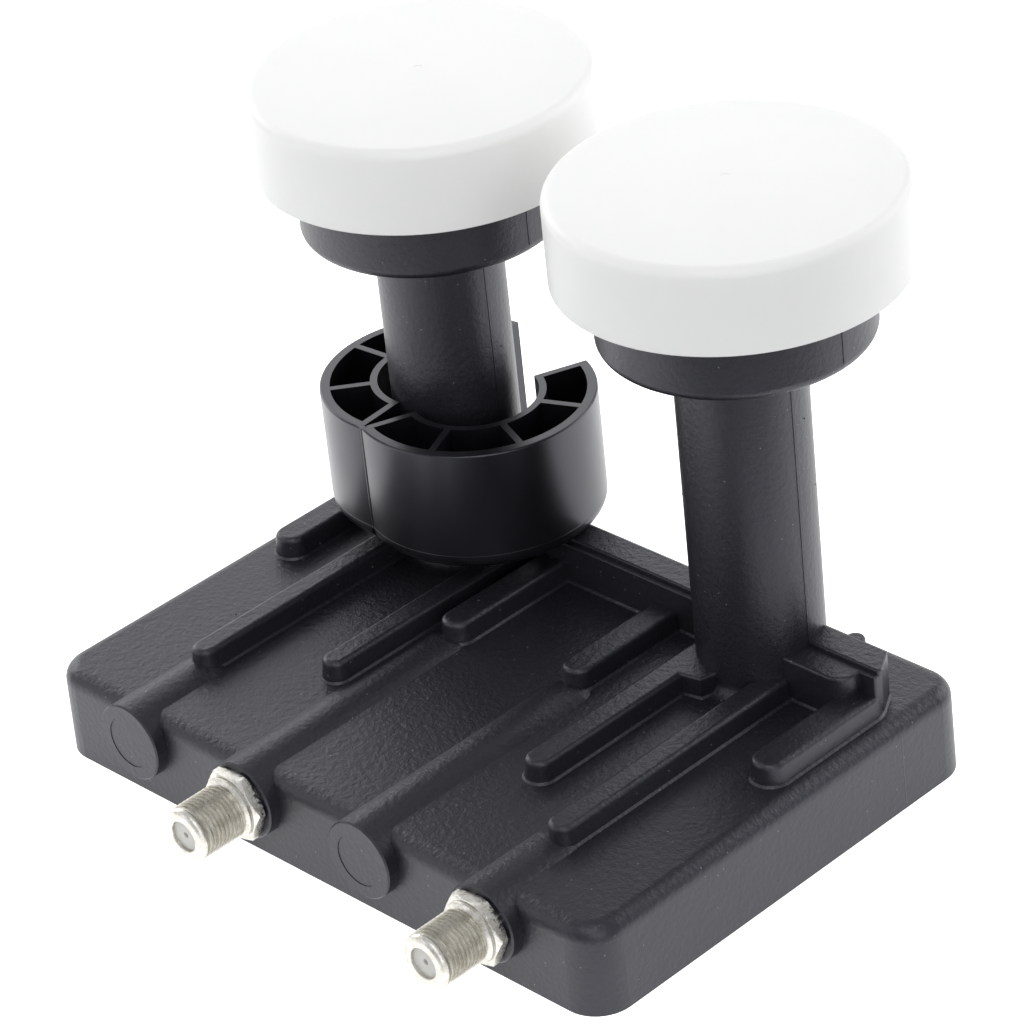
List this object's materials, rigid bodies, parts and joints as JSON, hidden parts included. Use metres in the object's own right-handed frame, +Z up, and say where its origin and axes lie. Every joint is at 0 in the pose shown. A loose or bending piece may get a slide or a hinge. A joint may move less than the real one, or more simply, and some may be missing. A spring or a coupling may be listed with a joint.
{
  "type": "satellite lnb",
  "caption": "Satellite LNB with two capped feed horns on round necks, a ribbed cast body with threaded F connectors, and a hinged adapter ring round one neck.",
  "frame": {"origin": "centre of the body's footprint, on the underside it lies on", "axes": "+Z up along the necks to the caps, +X along the body's length, -Y the way the F connectors face"},
  "size_m": [0.1218, 0.1108, 0.1018],
  "materials": {
    "housing_coat": "satin",
    "cover_metal": "matte",
    "shield_metal": "satin",
    "nickel_plate": "satin",
    "pin_brass": "satin",
    "screw_steel": "satin",
    "can_steel": "satin",
    "cap_plastic": "satin",
    "adapter_plastic": "satin",
    "insulator_plastic": "satin",
    "board_laminate": "satin",
    "chip_resin": "matte",
    "seal_rubber": "matte"
  },
  "bodies": {
    "lnb": {"housing": "housing_coat", "base_cover": "cover_metal", "cover_gasket": "seal_rubber", "cover_screws": "screw_steel", "circuit_board": "board_laminate", "rf_shield": "shield_metal", "shield_screws": "screw_steel", "probe_pins": "pin_brass", "receiver_chips": "chip_resin", "oscillator_cans": "can_steel", "feed_cap_left": "cap_plastic", "feed_cap_right": "cap_plastic", "cap_seal_left": "seal_rubber", "cap_seal_right": "seal_rubber", "f_connector_left": "nickel_plate", "f_connector_right": "nickel_plate", "f_insulator_left": "insulator_plastic", "f_insulator_right": "insulator_plastic", "f_contact_left": "pin_brass", "f_contact_right": "pin_brass", "f_seal_left": "seal_rubber", "f_seal_right": "seal_rubber", "adapter_fixed_half": "adapter_plastic"},
    "adapter_swing": {"adapter_swing_half": "adapter_plastic"}
  },
  "joints": [
    {"name": "adapter_hinge", "type": "hinge", "parent": "lnb", "child": "adapter_swing", "pos_m": [-0.03379, 0.00707, 0.0346], "axis": [0, 0, 1], "range_deg": [-75, 13]}
  ]
}
